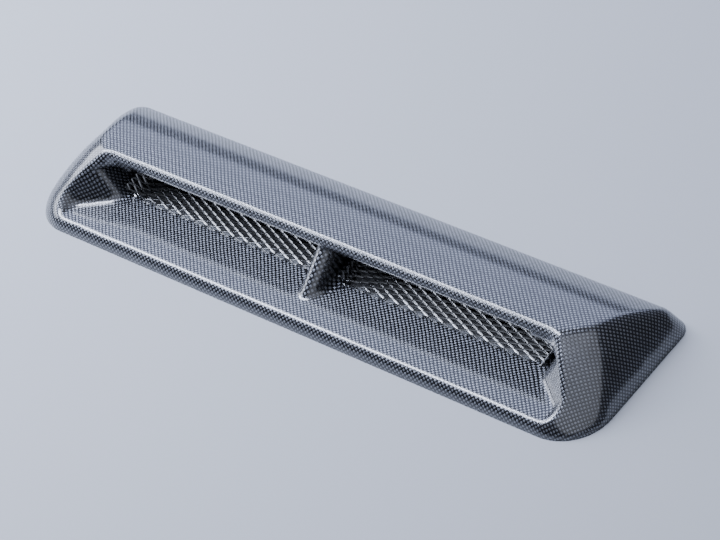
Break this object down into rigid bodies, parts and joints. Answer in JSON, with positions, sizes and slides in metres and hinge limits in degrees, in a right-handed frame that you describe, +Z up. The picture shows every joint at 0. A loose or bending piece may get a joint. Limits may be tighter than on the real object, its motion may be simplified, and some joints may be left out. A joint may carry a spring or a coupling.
{
  "type": "bonnet duct",
  "caption": "Low moulded carbon-fibre air duct for a bonnet, with a wide mouth, a rolled upper lip, a raked centre divider and expanded-metal mesh over its throats.",
  "frame": {"origin": "centre of the bottom rim's outline, in the rim's plane", "axes": "+X across the duct to the right seen from the mouth, +Y from the mouth to the rear edge, +Z up"},
  "size_m": [0.578, 0.15, 0.0471],
  "materials": {
    "carbon": "plain-weave carbon fibre under a clear gloss coat",
    "mesh": "mill-bright expanded sheet"
  },
  "bodies": {
    "root": {"duct_shell": "carbon", "mesh_left": "mesh", "mesh_right": "mesh"}
  },
  "joints": []
}
